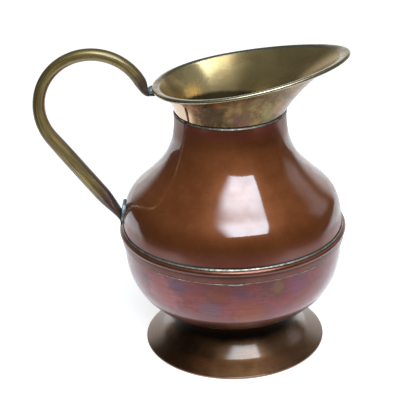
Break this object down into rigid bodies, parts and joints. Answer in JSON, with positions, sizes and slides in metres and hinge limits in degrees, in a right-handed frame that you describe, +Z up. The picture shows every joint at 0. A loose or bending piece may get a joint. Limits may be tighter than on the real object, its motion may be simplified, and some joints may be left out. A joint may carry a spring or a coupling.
{
  "type": "copper jug",
  "caption": "Copper table jug on a flared foot, with a banded belly, an oblique brass pouring collar and a bent brass tube handle.",
  "frame": {"origin": "on the floor, under the middle of the jug's overall length from handle to spout; the turned body's axis stands at x = +27.7 mm", "axes": "+X from the handle towards the spout, +Y across the jug's mirror plane, +Z up"},
  "size_m": [0.223, 0.165, 0.2278],
  "materials": {
    "patinated_copper": "polished copper under a smooth brown patina",
    "tarnished_copper": "polished copper with a mottled red and purple tarnish",
    "aged_brass": "spun brass with an olive patina and light stains",
    "wire_copper": "drawn copper wire, hidden in the rim",
    "soft_solder": "dull tin-lead solder with a trace of green corrosion"
  },
  "bodies": {
    "root": {"foot": "patinated_copper", "lower_bowl": "tarnished_copper", "upper_body": "patinated_copper", "belly_band": "tarnished_copper", "spout_collar": "aged_brass", "rim_wire": "wire_copper", "handle": "aged_brass", "neck_solder": "soft_solder", "belly_solder_upper": "soft_solder", "belly_solder_lower": "soft_solder", "foot_solder": "soft_solder", "handle_solder_upper": "soft_solder", "handle_solder_lower": "soft_solder"}
  },
  "joints": []
}
